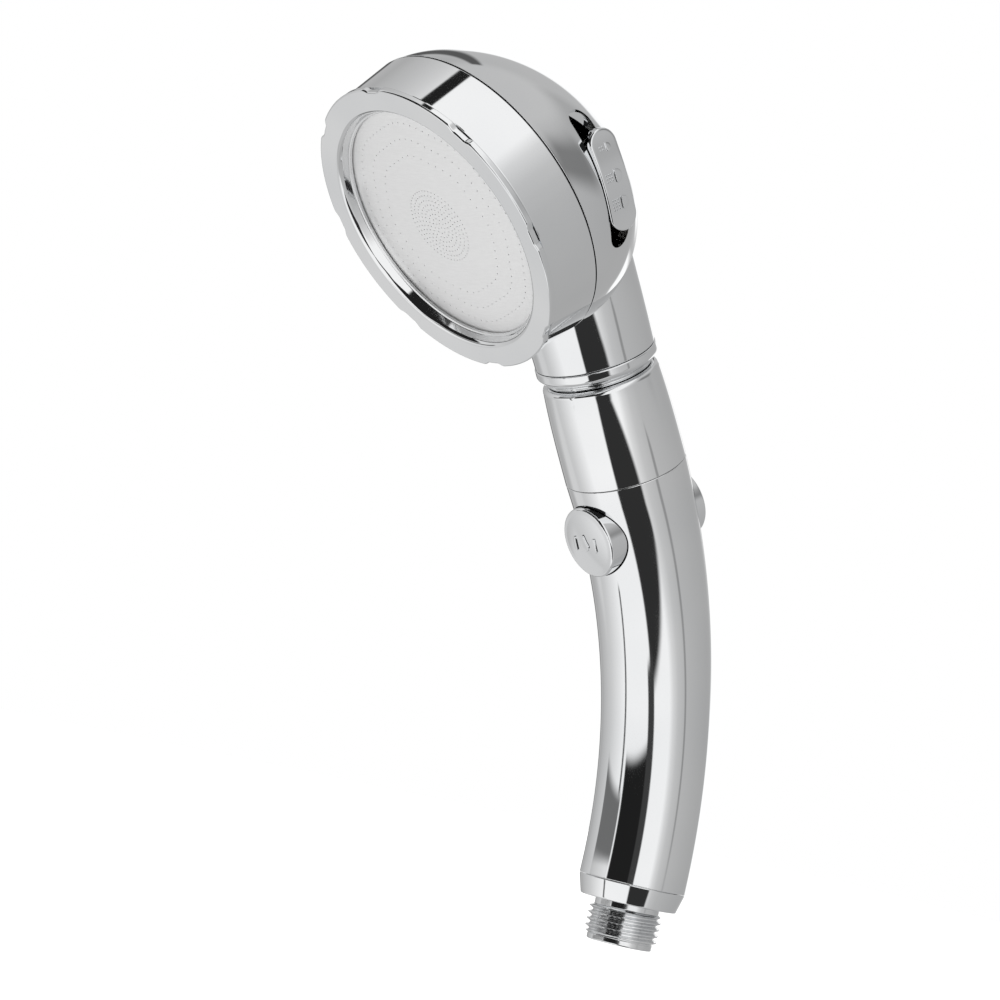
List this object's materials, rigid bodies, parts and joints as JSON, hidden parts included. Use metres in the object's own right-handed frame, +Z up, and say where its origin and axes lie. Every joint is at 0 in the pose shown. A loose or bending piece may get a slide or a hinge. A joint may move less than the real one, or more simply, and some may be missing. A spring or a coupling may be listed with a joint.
{
  "type": "handheld shower head",
  "caption": "Handheld shower head with a round spray face, swivel neck, spray selector and push-through stop button on a curved chromed grip, with a threaded hose inlet.",
  "frame": {"origin": "centre of the inlet thread's flat end face, where the hose's nut screws on", "axes": "+Z up the inlet and the lower grip; the spray side faces -Y; the spray selector is on the +X side"},
  "size_m": [0.0854, 0.164, 0.2253],
  "materials": {
    "plated_abs": "polished",
    "plated_brass": "polished",
    "stainless": "satin",
    "white_resin": "satin",
    "grey_resin": "satin",
    "seal_rubber": "matte"
  },
  "bodies": {
    "handle": {"inlet_stub": "plated_brass", "inlet_filter": "stainless", "flow_restrictor": "white_resin", "inlet_tube_seal": "seal_rubber", "end_cap": "plated_abs", "grip_shell": "plated_abs", "lower_water_tube": "white_resin", "valve_body": "white_resin", "valve_seal_lower": "seal_rubber", "valve_seal_upper": "seal_rubber", "upper_water_tube": "white_resin", "collar": "plated_abs", "swivel_spigot": "plated_brass", "spigot_tube_seal": "seal_rubber", "spigot_lock_ring": "grey_resin", "swivel_washer": "grey_resin", "swivel_seal_1": "seal_rubber", "swivel_seal_2": "seal_rubber", "retaining_clip": "stainless"},
    "head": {"swivel_bush": "white_resin", "neck_ring": "plated_abs", "swivel_housing": "white_resin", "rear_shell": "plated_abs", "bezel_ring": "plated_abs", "spray_plate": "stainless", "plate_gasket": "seal_rubber", "spray_chamber": "white_resin", "rear_chamber": "white_resin", "diverter_seat": "grey_resin", "chamber_screw_1": "stainless", "chamber_screw_2": "stainless", "chamber_screw_3": "stainless", "detent_ball": "stainless", "detent_spring": "stainless"},
    "selector": {"diverter_disc": "white_resin", "shaft_seal": "seal_rubber", "selector_lever": "white_resin", "lever_screw": "stainless", "selector_knob": "plated_abs"},
    "stop_button": {"valve_spool": "white_resin", "spool_seal_front": "seal_rubber", "spool_seal_rear": "seal_rubber", "stop_button_front": "plated_abs", "stop_button_rear": "plated_abs"}
  },
  "joints": [
    {"name": "head_swivel", "type": "hinge", "parent": "handle", "child": "head", "pos_m": [0, -0.03649, 0.12933], "axis": [0, -0.58, 0.8146], "continuous": true},
    {"name": "selector_turn", "type": "hinge", "parent": "head", "child": "selector", "pos_m": [0, -0.10703, 0.18787], "axis": [0, -0.8146, -0.58], "range_deg": [-6.5, 10.5]},
    {"name": "stop_slide", "type": "slide", "parent": "handle", "child": "stop_button", "axis": [0, 0.846, 0.5331], "range_m": [0, 0.0045]}
  ]
}
